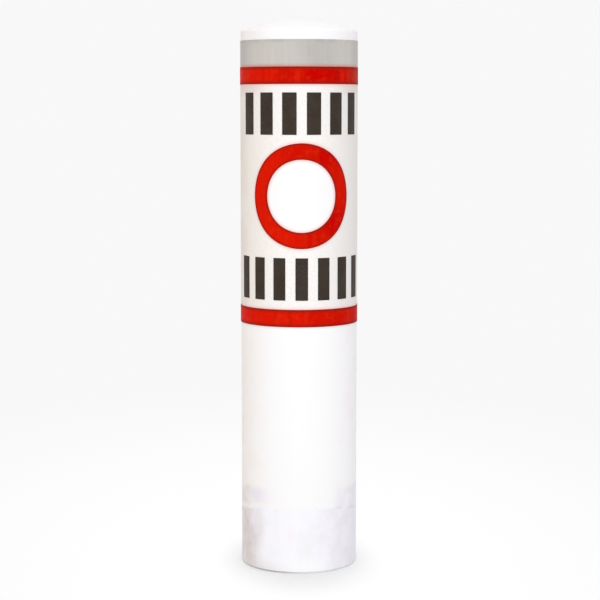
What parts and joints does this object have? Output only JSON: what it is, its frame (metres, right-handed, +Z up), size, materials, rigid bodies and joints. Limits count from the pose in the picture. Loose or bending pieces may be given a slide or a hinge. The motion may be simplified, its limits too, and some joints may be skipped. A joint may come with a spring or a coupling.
{
  "type": "regulatory buoy",
  "caption": "Upright round float with a domed top, ballasted foot, recessed mooring eye, and wrapped marker bands, ring and plain blocks.",
  "frame": {"origin": "centre of the flat base", "axes": "+Z up the body; the printed face looks along -Y; the filling port is on the +Y side"},
  "size_m": [0.2568, 0.2568, 1.194],
  "materials": {
    "shell": "moulded white polyethylene, satin",
    "foam": "closed-cell foam",
    "ballast": "cast ballast concrete",
    "galvanised_steel": "hot-dip galvanised",
    "plate_steel": "zinc plated",
    "plug": "moulded black plastic",
    "seal": "flat rubber",
    "reflective_film": "silver-grey reflective film",
    "white_vinyl": "white film, satin",
    "red_vinyl": "red film, satin",
    "dark_vinyl": "brownish black film, satin"
  },
  "bodies": {
    "root": {"shell": "shell", "foam_core": "foam", "ballast": "ballast", "mooring_eye": "galvanised_steel", "anchor_plate": "plate_steel", "anchor_nut": "plate_steel", "fill_plug": "plug", "fill_plug_seal": "seal", "reflective_band": "reflective_film", "label_sheet": "white_vinyl", "upper_red_band": "red_vinyl", "lower_red_band": "red_vinyl", "ring": "red_vinyl", "upper_block_1": "dark_vinyl", "upper_block_2": "dark_vinyl", "upper_block_3": "dark_vinyl", "upper_block_4": "dark_vinyl", "upper_block_5": "dark_vinyl", "upper_block_6": "dark_vinyl", "lower_block_1": "dark_vinyl", "lower_block_2": "dark_vinyl", "lower_block_3": "dark_vinyl", "lower_block_4": "dark_vinyl", "lower_block_5": "dark_vinyl", "lower_block_6": "dark_vinyl", "lower_block_7": "dark_vinyl"}
  },
  "joints": []
}
